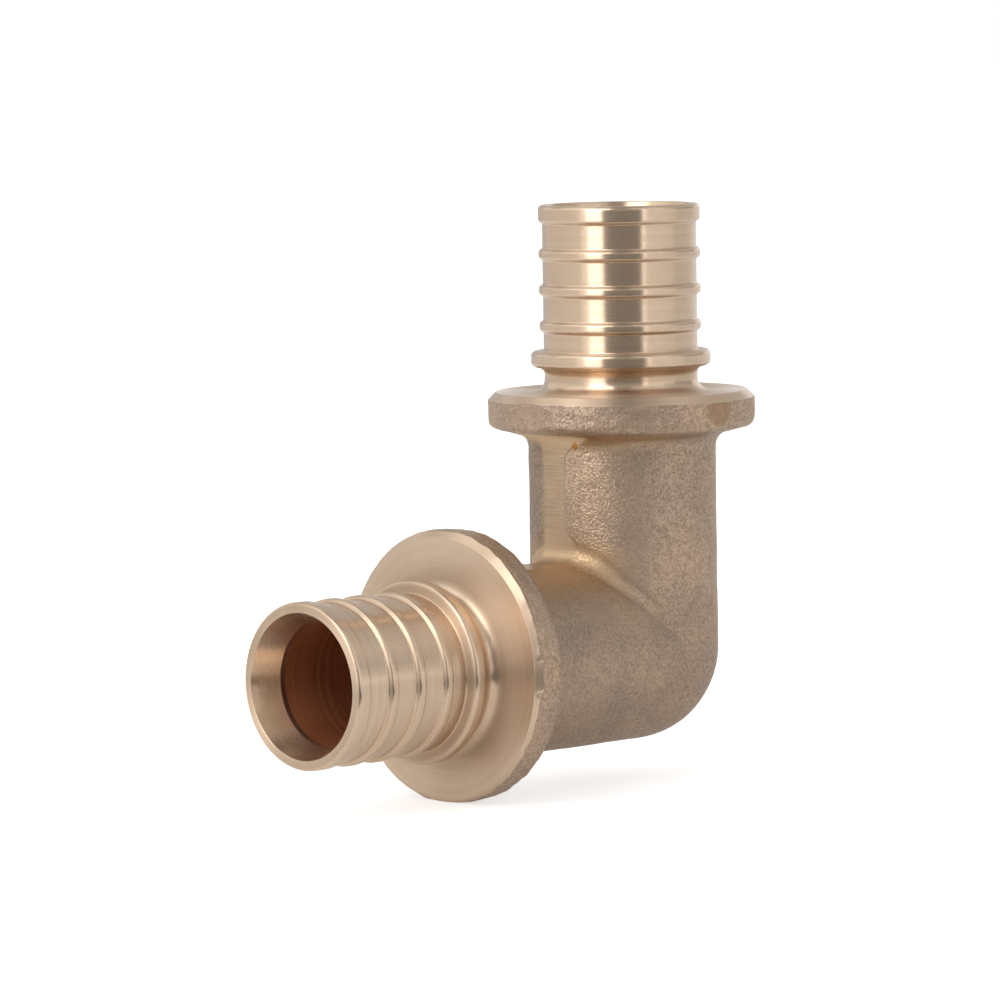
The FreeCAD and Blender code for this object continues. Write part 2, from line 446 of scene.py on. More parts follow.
def forged_leg(angle, face_radius, lift, mark_top, has_panels):
    """Rows of one leg from its chamfer down to where its stem is straight."""
    back_station = flange_face_station - rim_depth
    rise = (rim_radius - stem_radius) * math.tan(back_draft)
    outline = rounded_outline([
        (rim_radius, flange_face_station - rim_line_from, 0),
        (rim_radius, back_station, back_round),
        (stem_radius, back_station - rise, root_round),
        (stem_radius, straight_from, 0),
    ], steps_per_round=rim_round_steps)
    outline = close_points(outline, longest_step)
    radius, station = outline[:, :1], outline[:, 1:]
    chamfer_end = flange_face_station - chamfer_line_to
    u, y, *_ = forged_ring(rim_radius, angle, chamfer_end, lift, mark_top, has_panels)
    rim_top = flange_face_station - (np.hypot(u, y) - face_radius)
    straight = smooth_step((station - back_station - back_round) / (station[0] - back_station - back_round))
    station = station + (rim_top - station[0]) * straight
    u, y, s, trimmed, mark, coarse = forged_ring(radius, angle, station, lift, mark_top, has_panels)
    top = np.stack([u[0], y[0], rim_top], -1)
    first = face_radius + chamfer_start
    start = np.stack([first * np.cos(angle), first * np.sin(angle),
                      0 * angle + flange_face_station - chamfer_start], -1)
    chamfer = [start + (top - start) * t for t in chamfer_shares]
    rows = np.concatenate([chamfer, np.stack([u, y, s], -1)])
    none = np.zeros((len(chamfer), len(angle)))
    return rows, *(np.concatenate([none, mask]) for mask in (trimmed, mark, coarse)), len(chamfer)


upper_rows, upper_trim, upper_mark, upper_coarse, chamfer_rows = forged_leg(
    angles, upper_face_radius, 0.0, upper_mark_top, 1)
side_rows, side_trim, side_mark, side_coarse, _ = forged_leg(
    angles, side_face_radius, side_rim_lift, side_mark_top, 0)
print("rows of a flange:", len(upper_rows), "upper,", len(side_rows), "side")

# %% [markdown]
# ## Stems and bend
# The two stems meet like a mitred pipe, with a ball corner outside and a small round inside. Two cylinders
# and a boolean union could make it, with a bevel on the crease. Here each column runs on through the bend.
# How far it lies from the bore's axis, outwards or inwards, says where its stem ends and how small its
# inside round is. So the crease opens out towards the sides, as on the real part, and no seam has to be
# closed.

# %% Where the stems end and the bend begins
stem_rows, corner_rows = 44, 34
sunk_fades, grain_changes, grain_blend = 1.0, 3.5, 3.0
bend_radius = stem_radius - sunk_inside(angles)
side_way = bend_radius * np.sin(angles)
line_here = strip_height(cos_angle, 0 * angles)
half = soft_least(bend_radius * np.abs(cos_angle), line_here, strip_softness)
half = np.where(np.abs(cos_angle) < 1e-6, 0, np.maximum(half, 0))
fillet = np.where(outer, 0, inner_round * half / stem_radius)
stem_end = np.where(outer, 0, half + fillet)
print("inside round, mm: from", round(float(fillet[~outer].min()), 2), "to", round(float(fillet.max()), 2))


# %% Rows of a stem and of the bend
def stem(last_row, has_panels):
    """Rows between the foot of a flange and the bend, with masks for the strip and the coarse grain."""
    t = np.linspace(0, 1, stem_rows + 1)[1:, None]
    s = last_row[:, 2] + (stem_end - last_row[:, 2]) * t
    above_bend = s - stem_end
    on_panel = has_panels * panel(stem_radius * np.sin(angles), s, np.where(outer, far_from_bend, above_bend))
    sunk = 1 - on_panel if has_panels else np.exp(-above_bend / sunk_fades)
    radius = stem_radius - sunk_inside(angles) * sunk
    u, y = radius * cos_angle, radius * np.sin(angles)
    line = strip_height(u, on_panel)
    trimmed = smooth_step((np.abs(u) - line) / (2 * strip_softness) + 0.5)
    u = np.sign(u) * soft_least(np.abs(u), line, strip_softness)
    return np.stack([u, y, s], -1), trimmed, on_panel * smooth_step((s - grain_changes) / grain_blend)


def bend():
    """Rows round the corner: a big round outside, a small one inside."""
    turn = np.linspace(0, np.pi / 2, corner_rows + 1)[1:-1, None]
    x_out, z_out = half * np.cos(turn), -half * np.sin(turn)
    x_in = -(half + fillet) + fillet * np.cos(turn)
    z_in = half + fillet - fillet * np.sin(turn)
    return np.stack([np.where(outer, x_out, x_in), side_way + 0 * turn, np.where(outer, z_out, z_in)], -1)


# %% Put the rows together
def placed(rows, on_side_leg):
    """Leg points (outwards, sideways, along) as X, Y, Z."""
    u, y, s = rows[..., 0], rows[..., 1], rows[..., 2]
    return np.stack([-s, y, -u] if on_side_leg else [u, y, s], -1)


upper_stem, upper_stem_trim, upper_stem_coarse = stem(upper_rows[-1], 1)
side_stem, side_stem_trim, side_stem_coarse = stem(side_rows[-1], 0)
round_rows = bend()
grid = np.concatenate([placed(upper_rows, False), placed(upper_stem, False), round_rows,
                       placed(side_stem, True)[::-1], placed(side_rows, True)[::-1]])
rows_above_bend = len(upper_rows) + len(upper_stem)
print("forged grid:", grid.shape)

# %% [markdown]
# ## Masks for the finish
# The real skin isn't the same all over. It is coarse on the flange rims and the panels, smooth where it was
# trimmed and browner at the ejector marks. Two masks paint light instead: painted shade darkens the far
# panel, and a painted warm glow of light bounced between the brass faces lies in the corners. These could
# be painted by hand as vertex colours. Here they come from the same numbers that shaped the skin, one mask
# for each, so a mark's colour always lies on the mark.

# %% Masks that follow the shape
outer_trim_share, side_mark_share = 0.35, 0.25
strip_here = smooth_step((bend_radius * np.abs(cos_angle) - line_here) / (2 * strip_softness) + 0.5)
bend_trim, bend_coarse = np.tile(strip_here, (len(round_rows), 1)), np.zeros(round_rows.shape[:2])
trim_mask = np.where(outer, outer_trim_share, 1) * np.concatenate([
    upper_trim, upper_stem_trim, bend_trim, side_stem_trim[::-1], side_trim[::-1]])
coarse_mask = np.concatenate([
    upper_coarse, upper_stem_coarse, bend_coarse, side_stem_coarse[::-1], side_coarse[::-1]])
no_mark = np.zeros((len(upper_stem) + len(round_rows) + len(side_stem), len(angles)))
mark_mask = np.concatenate([upper_mark, no_mark, side_mark_share * side_mark[::-1]])
print("trimmed share of the skin:", round(float(trim_mask.mean()), 3))

# %% Masks that lie in one place
far_from, far_blend, inside_from, inside_blend, far_shade_fades = 0.2, 0.1, 0.35, 0.25, 0.8
bounce_middle, bounce_reach, bounce_turn, inside_rim = 18.7, 0.9, 0.6, 10.8
corner_from, corner_blend, corner_top, corner_fades = 4.5, 3.0, 9.0, 0.8
x_mm, y_mm, z_mm = grid[..., 0], grid[..., 1], grid[..., 2]

# Painted shade: the stem's far side inside the bend, below the upper flange, is darkened to stand for the
# shade it lies in.
far_side = smooth_step((np.sin(angles) - far_from) / far_blend)
far_side = far_side * smooth_step((-cos_angle - inside_from) / inside_blend)
far_shade_mask = np.zeros(grid.shape[:2])
far_shade_mask[chamfer_rows:rows_above_bend] = far_side
far_shade_mask *= smooth_step((panel_top + far_shade_fades - z_mm) / far_shade_fades)

# Painted bounce light: a warm golden glow under the upper flange and in the bend stands for light bounced
# between brass faces.
near_root = np.exp(-((z_mm - bounce_middle) / bounce_reach) ** 2)
under_flange = near_root * smooth_step(-cos_angle / bounce_turn) * (np.hypot(x_mm, y_mm) < inside_rim)
in_bend = smooth_step((np.minimum(-x_mm, z_mm) - corner_from) / corner_blend)
in_bend[:rows_above_bend] *= np.exp(-(z_mm[:rows_above_bend] - corner_top) / corner_fades).clip(0, 1)
painted_bounce_mask = np.maximum(under_flange, in_bend * (np.hypot(y_mm, z_mm) < inside_rim))
print("browned share of the skin:", round(float(painted_bounce_mask.mean()), 3))

# %% [markdown]
# ## Give the skin its slow waves
# Hot metal doesn't fill a die evenly and shot-blasting dents it, so no face is quite flat. A Displace
# modifier with a texture could do this, but it would move the trimmed strip as much as the rest. Here each
# point moves a few hundredths of a millimetre along its own normal, less on the strip. The chamfer was cut
# by the lathe, so it stays as it is.

# %% Waves on the skin
skin_waves = ((0.022, 5.0, 11), (0.010, 1.8, 12))
rows_to_full_waves, highest_lump, flatter_on_strip = 6, 0.02, 0.7


def grid_normals(points):
    """Normal at each point of the grid, from its neighbours."""
    around = np.roll(points, -1, axis=1) - np.roll(points, 1, axis=1)
    along = np.gradient(points, axis=0)
    normal = np.cross(around, along)
    return normal / (np.linalg.norm(normal, axis=-1, keepdims=True) + 1e-9)


normals = grid_normals(grid)
row_count, column_count = grid.shape[:2]
if normals[row_count // 2, 0, 0] < 0:
    normals = -normals
row_number = np.arange(row_count)
from_chamfer = np.minimum(row_number, row_count - 1 - row_number) - chamfer_rows
may_move = smooth_step(from_chamfer / rows_to_full_waves)[:, None]
lumps = sum(height * waves(grid, length, seed) for height, length, seed in skin_waves)
move = np.minimum(lumps, highest_lump) * may_move * (1 - flatter_on_strip * trim_mask)
grid = grid + normals * move[..., None]
print("waves on the skin, mm: from", round(float(move.min()), 3), "to", round(float(move.max()), 3))

# %% The skin's mesh
corner = np.arange(row_count * column_count).reshape(row_count, column_count)
next_column = np.roll(corner, -1, axis=1)
quads = np.stack([corner[:-1], next_column[:-1], next_column[1:], corner[1:]], -1).reshape(-1, 4)
forging = new_piece("forging", grid.reshape(-1, 3), quads)
chamfer_face = np.repeat((from_chamfer[:-1] < 0) & (from_chamfer[1:] <= 0), column_count)
print("forging:", len(quads), "faces, chamfer faces:", int(chamfer_face.sum()))

# %% [markdown]
# ## Mark and weld the skin
# The masks become attributes of the mesh, so the material can tell a trimmed face from a blasted one
# without knowing where it is. A painted image could hold them too, but it would need an unwrapped skin.
# Where the two stems meet at the sides of the bend, a column shrinks to one point, and welding turns the
# slivers there into clean triangles. The attributes are stored first, while each point still has its place
# in the grid.


# %% Store the masks
def keep_float(mesh, name, values):
    """Store one number a point under a name."""
    layer = mesh.attributes.new(name, "FLOAT", "POINT")
    layer.data.foreach_set("value", np.asarray(values, dtype=np.float32).ravel())


skin = forging.data
ring_distance = np.hypot(grid[..., 1], np.minimum(np.abs(grid[..., 0]), np.abs(grid[..., 2]))) * MM
for name, mask in (("trimmed", trim_mask), ("mark", mark_mask), ("coarse", coarse_mask), ("painted_far_shade", far_shade_mask),
                   ("painted_bounce", painted_bounce_mask), ("worn_edge", np.ones(grid.shape[:2])), ("along", ring_distance)):
    keep_float(skin, name, mask)
print("masks on the skin:", [layer.name for layer in skin.attributes if layer.data_type == "FLOAT"])


# %% Weld the skin and turn it outwards
weld_gap = 0.002


def outward_from_leg(centre):
    """Rough outward direction at a point: away from the nearer bore axis."""
    x, y, z = centre
    return Vector((x, y, 0)) if z > -x else Vector((0, y, z))


skin.materials.append(forged_brass)
skin.materials.append(turned_brass)
skin.polygons.foreach_set("material_index", chamfer_face.astype(np.int32))
work = bmesh.new()
work.from_mesh(skin)
bmesh.ops.remove_doubles(work, verts=work.verts, dist=weld_gap * MM)
bmesh.ops.recalc_face_normals(work, faces=work.faces)
work.to_mesh(skin)
work.free()
face_outwards(forging, outward_from_leg)
shade_smooth(skin)
print("forging after welding:", len(skin.polygons), "faces")

# %% [markdown]
# ## The waterway
# Two drilled bores meet inside the bend. Near the mouths a bore is a plain tube, and the lathe outline
# stops a little way in, so a grid of rings goes on from there. The crossing of the two bores could be cut
# again with a boolean. But the CAD part already has that shape, so a copy of it is cut out of the part and
# kept.

# %% Bore walls
drilled_brass = bpy.data.materials.new("drilled_brass")
crossing_reach, tube_columns, tube_rows, tube_overlap = 7.0, 128, 24, 0.5
turn_once = np.linspace(0, 2 * np.pi, tube_columns, endpoint=False)
depths = np.linspace(tip_station - mouth_depth - tube_overlap, crossing_reach, tube_rows)
tube = np.stack([bore_radius * np.cos(turn_once) + 0 * depths[:, None],
                 bore_radius * np.sin(turn_once) + 0 * depths[:, None],
                 depths[:, None] + 0 * turn_once], -1)
side_tube = np.stack([-tube[..., 2], tube[..., 1], tube[..., 0]], -1)
number = np.arange(tube_rows * tube_columns).reshape(tube_rows, tube_columns)
tube_faces = np.stack([number[:-1], number[1:], np.roll(number, -1, 1)[1:], np.roll(number, -1, 1)[:-1]], -1)
tube_faces = tube_faces.reshape(-1, 4)
two_tubes = np.concatenate([tube.reshape(-1, 3), side_tube.reshape(-1, 3)])
two_tubes_faces = np.concatenate([tube_faces, tube_faces + tube_rows * tube_columns])
waterway = new_piece("waterway", two_tubes, two_tubes_faces)
print("bore walls:", len(two_tubes_faces), "faces")

# %% Crossing of the bores
drill_point, wall_slack, cad_weld_gap = 3.2, 0.03, 0.001


def near_a_bore(face):
    """True where every corner of a face lies on or inside one of the two bores."""
    wall, point = (bore_radius + wall_slack) * MM, drill_point * MM

    def inside(p):
        in_upright = math.hypot(p.x, p.y) < wall and p.z > -point
        return in_upright or (math.hypot(p.y, p.z) < wall and p.x < point)

    return all(inside(v.co) for v in face.verts)


crossing = bmesh.new()
crossing.from_mesh(cad_body.data)
bmesh.ops.remove_doubles(crossing, verts=crossing.verts, dist=cad_weld_gap * MM)
for plane_normal in (Vector((0, 0, 1)), Vector((-1, 0, 0))):
    whole = crossing.verts[:] + crossing.edges[:] + crossing.faces[:]
    bmesh.ops.bisect_plane(crossing, geom=whole, plane_co=plane_normal * crossing_reach * MM,
                           plane_no=plane_normal, clear_outer=True)
bmesh.ops.delete(crossing, geom=[f for f in crossing.faces if not near_a_bore(f)], context="FACES")
crossing.from_mesh(waterway.data)
crossing.to_mesh(waterway.data)
crossing.free()
waterway.data.materials.append(drilled_brass)
shade_smooth(waterway.data)
bore_depth = [tip_station * MM - max(v.co.z, -v.co.x) for v in waterway.data.vertices]
keep_float(waterway.data, "along", bore_depth)
print("waterway:", len(waterway.data.polygons), "faces")

# %% [markdown]
# ## Shader helpers
# A finish is a small network of nodes. It could be wired by hand in the shader editor, but a script can
# repeat it. The helper below makes one node and wires it in one go: a number sets an input, and an output
# of another node is linked to it. Colours are written as they would be measured, in linear light.


# %% Helpers for shader networks
def set_inputs(tree, node, inputs):
    """Set or link a node's inputs, by name or by place."""
    for key, value in inputs.items():
        if isinstance(value, bpy.types.NodeSocket):
            tree.links.new(value, node.inputs[key])
        else:
            node.inputs[key].default_value = value


def put(tree, kind, inputs, **settings):
    """Add a node, set its options and its inputs."""
    node = tree.nodes.new("ShaderNode" + kind)
    for key, value in settings.items():
        setattr(node, key, value)
    set_inputs(tree, node, inputs)
    return node


def maths(tree, operation, first, second=0.0):
    """One sum on two values."""
    return put(tree, "Math", {0: first, 1: second}, operation=operation).outputs[0]


def ramp(tree, value, low, high, to_low=0.0, to_high=1.0):
    """Carry a value from one range to another, held at the ends."""
    ends = {"Value": value, "From Min": low, "From Max": high, "To Min": to_low, "To Max": to_high}
    return put(tree, "MapRange", ends).outputs[0]


def blend(tree, share, first, second):
    """Mix two colours. Inputs 6 and 7 are the node's colours."""
    return put(tree, "Mix", {0: share, 6: first, 7: second}, data_type="RGBA").outputs[2]


def brighten(tree, tone, factor):
    """A colour times a number."""
    return put(tree, "VectorMath", {0: tone, "Scale": factor}, operation="SCALE").outputs[0]


def colour(red, green, blue):
    """A colour in linear light, fully opaque."""
    return (red, green, blue, 1.0)


# %% Helpers for textures, attributes and effects
def noise(tree, place, size, detail=2.0):
    """Soft noise whose lumps are about one size, in metres."""
    return put(tree, "TexNoise", {"Vector": place, "Scale": 1 / size, "Detail": detail}).outputs[0]


def noise_along(tree, distance, size, detail):
    """Noise that depends on one distance only."""
    return put(tree, "TexNoise", {"W": distance, "Scale": 1 / size, "Detail": detail},
               noise_dimensions="1D").outputs[0]


def attribute(tree, name, output="Fac"):
    """A value stored on the points of the piece."""
    return put(tree, "Attribute", {}, attribute_name=name).outputs[output]


def new_effect(name, inputs, outputs):
    """A node group for an effect: its tree, its inputs and a function that wires an output."""
    tree = bpy.data.node_groups.new(name, "ShaderNodeTree")
    for socket, kind in inputs:
        tree.interface.new_socket(socket, in_out="INPUT", socket_type="NodeSocket" + kind)
    for socket, kind in outputs:
        tree.interface.new_socket(socket, in_out="OUTPUT", socket_type="NodeSocket" + kind)
    given, result = tree.nodes.new("NodeGroupInput"), tree.nodes.new("NodeGroupOutput")
    return tree, given.outputs, lambda name, value: tree.links.new(value, result.inputs[name])


def use_effect(tree, effect, inputs):
    """Place an effect in a material and give its outputs."""
    node = tree.nodes.new("ShaderNodeGroup")
    node.node_tree = effect
    set_inputs(tree, node, inputs)
    return node.outputs


# %% Helpers that start a material
def empty_network(owner):
    """The node tree of a material or a world, with nothing in it."""
    owner.use_nodes = True
    owner.node_tree.nodes.clear()
    return owner.node_tree


def start_metal(material):
    """An empty network with the metal shader that every finish here ends in."""
    tree = empty_network(material)
    metal = put(tree, "BsdfPrincipled", {"Metallic": 1.0})
    put(tree, "OutputMaterial", {"Surface": metal.outputs["BSDF"]})
    return tree, metal, put(tree, "TexCoord", {}).outputs["Object"]


# %% [markdown]
# ## Effect: rings left by a cutting tool
# A tool leaves one fine groove for each turn of the work. A real thread of geometry would be far too dense,
# and a pattern in space would not follow the outline. So the rings are noise that depends only on the
# distance along the outline, and they run true round the axis. A second, slower noise stands for chatter
# and worn spots.

# %% Effect: tool rings
fine_feed, coarse_feed, wear_size, coarse_share = 0.14 * MM, 0.5 * MM, 4 * MM, 0.3
tool_rings, given, hand_out = new_effect(
    "tool_rings", [("Along", "Float"), ("Place", "Vector")], [("Height", "Float"), ("Tone", "Float")])
fine = noise_along(tool_rings, given["Along"], fine_feed, 0.0)
coarse = noise_along(tool_rings, given["Along"], coarse_feed, 2.0)
wear = noise(tool_rings, given["Place"], wear_size, 1.0)
rings = maths(tool_rings, "ADD", fine, maths(tool_rings, "MULTIPLY", coarse, coarse_share))
hand_out("Height", maths(tool_rings, "MULTIPLY", rings, ramp(tool_rings, wear, 0.3, 0.7, 0.75, 1.0)))
hand_out("Tone", ramp(tool_rings, maths(tool_rings, "ADD", coarse, wear), 0.7, 1.3))
print("effect:", tool_rings.name)

# %% [markdown]
# ## Effect: shot-blasted grain
# Blasting with small shot leaves a skin of small round bumps about a fifth of a millimetre wide. Noise
# alone looks like crumpled foil. So cells with soft edges give the bumps, and fine noise breaks them up.
# Smaller cells, each with its own tone, stand for the facets that flash in the light. Where the skin is
# coarse, the bumps are deeper and slow dents lie under them.

# %% Effect: blasted grain
grain_size, bump_size, facet_size, dent_size, patch_size = (size * MM for size in (0.11, 0.2, 0.16, 0.5, 5))
bump_softness, grain_share, coarse_dents = 0.5, 0.6, 0.2
blasted_grain, given, hand_out = new_effect(
    "blasted_grain", [("Place", "Vector"), ("Coarse", "Float")],
    [("Height", "Float"), ("Facet", "Float"), ("Patches", "Float")])
where = given["Place"]
cells = put(blasted_grain, "TexVoronoi",
            {"Vector": where, "Scale": 1 / bump_size, "Smoothness": bump_softness},
            feature="SMOOTH_F1").outputs["Distance"]
bumps = maths(blasted_grain, "MULTIPLY", cells, ramp(blasted_grain, given["Coarse"], 0, 1, -0.5, -1.0))
fine_grain = maths(blasted_grain, "MULTIPLY", noise(blasted_grain, where, grain_size, 1.0), grain_share)
slow = maths(blasted_grain, "MULTIPLY", noise(blasted_grain, where, dent_size, 1.0),
             ramp(blasted_grain, given["Coarse"], 0, 1, 0.0, coarse_dents))
hand_out("Height", maths(blasted_grain, "ADD", maths(blasted_grain, "ADD", fine_grain, bumps), slow))
facets = put(blasted_grain, "TexVoronoi", {"Vector": where, "Scale": 1 / facet_size}).outputs["Color"]
hand_out("Facet", put(blasted_grain, "SeparateColor", {"Color": facets}).outputs[0])
hand_out("Patches", ramp(blasted_grain, noise(blasted_grain, where, patch_size, 4.0), 0.35, 0.65))
print("effect:", blasted_grain.name)

# %% [markdown]
# ## Effect: scratches of the trimming tool
# The tool that ground off the fin went across the strip in many short strokes. Single scratches could be
# drawn as curves, but nobody could tell them apart at this size. So the strokes are noise that is long
# across the part and thin along it.

# %% Effect: strokes across the strip
stroke_gap, stroke_length, stroke_patch = 0.14 * MM, 4 * MM, 4 * MM
strokes_across, given, hand_out = new_effect(
    "strokes_across", [("Place", "Vector")], [("Height", "Float"), ("Tone", "Float")])
stretch = (1 / stroke_gap, 1 / stroke_length, 1 / stroke_gap)
long_way = put(strokes_across, "VectorMath", {0: given["Place"], 1: stretch}, operation="MULTIPLY").outputs[0]
strokes = noise(strokes_across, long_way, 1.0)
slow_tone = noise(strokes_across, given["Place"], stroke_patch)
hand_out("Height", strokes)
hand_out("Tone", maths(strokes_across, "ADD", ramp(strokes_across, strokes, 0.35, 0.65, 0.90, 1.10),
                       ramp(strokes_across, slow_tone, 0.35, 0.65, -0.08, 0.08)))
print("effect:", strokes_across.name)

# %% [markdown]
# ## Finish: turned brass
# Freshly cut brass is a pale, pinkish gold. It is bright but not a mirror, because the rings spread its
# reflections along the leg. Bump alone can't show rings this fine from a step away, so the shader's own
# stretch of reflections does it, with the way across the rings read from the piece. A warmer tint is
# painted in the narrow neck under the collar, as painted bounce light between the collar and the neck. The
# turned face is rougher than the spigot, and its edge is worn.

# %% Turned brass
pale_brass, deep_brass = colour(0.665, 0.508, 0.372), colour(0.63, 0.468, 0.333)
# Painted bounce light: a warm tint in the neck under the collar stands for light bounced between the collar
# and the neck.
neck_glow_tint, neck_glow_share = colour(0.74, 0.52, 0.30), 0.4
spigot_roughness, face_roughness, edge_roughness, ring_roughness = 0.26, 0.50, 0.32, 0.02
spigot_stretch, face_stretch, squarely, turned_ring_depth = 0.85, 0.92, 0.7, 0.0022 * MM


def add_tool_rings(tree, metal, place, depth):
    """Tool rings as bump, with reflections stretched across them. Gives the rings' tone."""
    marks = use_effect(tree, tool_rings, {"Along": attribute(tree, "along"), "Place": place})
    bump = put(tree, "Bump", {"Height": marks["Height"], "Distance": depth, "Strength": 1.0})
    set_inputs(tree, metal, {"Normal": bump.outputs[0], "Tangent": attribute(tree, "across", "Vector")})
    return marks["Tone"]


tree, metal, place = start_metal(turned_brass)
ring_tone = add_tool_rings(tree, metal, place, turned_ring_depth)
clean = blend(tree, ring_tone, deep_brass, pale_brass)
# Where the painted bounce light in the neck lies.
neck_glowed = maths(tree, "MULTIPLY", attribute(tree, "tint"), neck_glow_share)
faced = attribute(tree, "faced")
roughness = ramp(tree, faced, squarely, 1.0, spigot_roughness, face_roughness)
roughness = ramp(tree, attribute(tree, "worn_edge"), 0, 1, roughness, edge_roughness)
roughness = maths(tree, "ADD", roughness, ramp(tree, ring_tone, 0, 1, ring_roughness, -ring_roughness))
set_inputs(tree, metal, {"Base Color": blend(tree, neck_glowed, clean, neck_glow_tint), "Roughness": roughness,
                         "Anisotropic": ramp(tree, faced, squarely, 1.0, spigot_stretch, face_stretch)})
print("finish:", turned_brass.name, len(tree.nodes), "nodes")

# %% [markdown]
# ## Finish: drilled brass
# The bore is the same metal, cut rougher. Its dark orange-brown is painted shade and painted bounce light:
# light reaches it only after several bounces, and each bounce takes out more of the blue. The same pale
# metal could be used here with many bounces of light, which is slow and noisy. The painted deep orange-brown
# gives the same look at once.

# %% Drilled brass
# Painted shade and bounce light: the deep orange-brown stands for a bore lit only through its mouth.
deep_shade_wall, lighter_shade_wall = colour(0.38, 0.13, 0.052), colour(0.53, 0.21, 0.095)
drilled_ring_depth = 0.002 * MM
tree, metal, place = start_metal(drilled_brass)
ring_tone = add_tool_rings(tree, metal, place, drilled_ring_depth)
set_inputs(tree, metal, {"Base Color": blend(tree, ring_tone, deep_shade_wall, lighter_shade_wall), "Roughness": 0.32,
                         "Metallic": 0.6, "Anisotropic": 0.8})
print("finish:", drilled_brass.name, len(tree.nodes), "nodes")

# %% [markdown]
# ## Finish: forged brass
# The blasted skin is duller and greyer than the cut metal, with warm patches. The trimmed strip is smoother
# and has faint scratches from the trimming tool. The ejector marks are browner, from the hot pins of the
# die. A small brown stain lies at the top of the strip's edge. Light is painted in too: a warm glow of light
# bounced between brass faces under the upper flange and in the bend, and painted shade on the far panel.
# Separate materials for each zone would leave hard borders, so one finish reads the masks and blends from
# zone to zone.

# %% Colours and depths of the forged skin
grey_skin, warm_skin = colour(0.37, 0.275, 0.208), colour(0.445, 0.325, 0.232)
# The golden brown of the corners is painted bounce light.
strip_metal, bounce_glow_colour = (0.475, 0.338, 0.225), colour(0.56, 0.39, 0.235)
pin_brown, pin_share, bounce_share = colour(0.38, 0.24, 0.145), 0.7, 0.85
stain_place, stain_size, stain_brown = (-7.9, -2.0, 18.0), 0.38, colour(0.45, 0.22, 0.06)
stain_core, coarse_glint, far_shade_tone = 0.75, 1.12, 0.74
fine_facets, coarse_facets, dark_facet_roughness, bright_facet_roughness = 0.17, 0.3, 0.70, 0.38
strip_roughness, fine_depth, coarse_depth = 0.38, 0.024 * MM, 0.034 * MM
stroke_depth, grain_left_on_strip = 0.016 * MM, 0.12

# %% Forged brass: colour
tree, metal, place = start_metal(forged_brass)
coarse_skin, trimmed = attribute(tree, "coarse"), attribute(tree, "trimmed")
grain = use_effect(tree, blasted_grain, {"Place": place, "Coarse": coarse_skin})
strokes = use_effect(tree, strokes_across, {"Place": place})
facet_tone = maths(tree, "MULTIPLY", maths(tree, "SUBTRACT", grain["Facet"], 0.5),
                   ramp(tree, coarse_skin, 0, 1, fine_facets, coarse_facets))
coarse_lift = ramp(tree, coarse_skin, 0, 1, 1.0, coarse_glint)
lit_skin = brighten(tree, blend(tree, grain["Patches"], grey_skin, warm_skin),
                    maths(tree, "ADD", facet_tone, coarse_lift))
stripped = blend(tree, trimmed, lit_skin, brighten(tree, strip_metal, strokes["Tone"]))
on_mark = maths(tree, "MULTIPLY", attribute(tree, "mark"), pin_share)
# Painted bounce light: a warm glow in the corners.
in_bounce = maths(tree, "MULTIPLY", attribute(tree, "painted_bounce"), bounce_share)
painted_bounce = blend(tree, in_bounce, blend(tree, on_mark, stripped, pin_brown), bounce_glow_colour)
# Painted shade darkens the far panel.
far_shaded = brighten(tree, painted_bounce, ramp(tree, attribute(tree, "painted_far_shade"), 0, 1, 1.0, far_shade_tone))
from_stain = put(tree, "VectorMath", {0: place, 1: Vector(stain_place) * MM},
                 operation="DISTANCE").outputs["Value"]
stained = ramp(tree, from_stain, stain_size * MM, stain_core * stain_size * MM)
set_inputs(tree, metal, {"Base Color": blend(tree, stained, far_shaded, stain_brown)})
print("colour of the forged skin:", len(tree.nodes), "nodes")

# %% Forged brass: roughness and bump
rough_skin = ramp(tree, grain["Facet"], 0, 1, dark_facet_roughness, bright_facet_roughness)
grain_bump = put(tree, "Bump", {"Height": grain["Height"],
                                "Distance": ramp(tree, coarse_skin, 0, 1, fine_depth, coarse_depth),
                                "Strength": ramp(tree, trimmed, 0, 1, 1.0, grain_left_on_strip)})
stroke_bump = put(tree, "Bump", {"Height": strokes["Height"], "Distance": stroke_depth, "Strength": trimmed,
                                 "Normal": grain_bump.outputs[0]})
set_inputs(tree, metal, {"Roughness": ramp(tree, trimmed, 0, 1, rough_skin, strip_roughness),
                         "Normal": stroke_bump.outputs[0]})
print("finish:", forged_brass.name, len(tree.nodes), "nodes")

# %% [markdown]
# ## Things that need a place
# Turned metal smears its reflections across its rings, so the finish needs to know which way that is at
# each point: square to the ring and along the surface. A shader could work that out for one axis, but this
# part has two. The painted glow of bounced light lies only in the neck between the collar and the flange.
# All of it is stored on the points of the pieces.

# %% Store the way across the rings
def leg_axis(point):
    """The way along the leg that a point belongs to."""
    return Vector((0, 0, 1)) if point[2] > -point[0] else Vector((-1, 0, 0))


def keep_way_across_rings(mesh):
    """Store the way square to the ring round the nearer axis, and how squarely a face looks along it."""
    ways = []
    for vertex in mesh.vertices:
        axis = leg_axis(vertex.co)
        spoke = vertex.co - axis * vertex.co.dot(axis)
        ways += vertex.normal.cross(axis.cross(spoke)).normalized()[:]
    layer = mesh.attributes.new("across", "FLOAT_VECTOR", "POINT")
    layer.data.foreach_set("vector", ways)
    keep_float(mesh, "faced", [abs(leg_axis(v.co).dot(v.normal)) for v in mesh.vertices])


brass_pieces = (upper_spigot, side_spigot, forging, waterway)
for piece in brass_pieces:
    keep_way_across_rings(piece.data)
print("pieces with a way across the rings:", [piece.name for piece in brass_pieces])


# %% Store the painted neck glow and the worn edge on the turned pieces
neck_glow_top, neck_glow_fades, edge_near = collar_station - collar_width, 1.2, 0.05


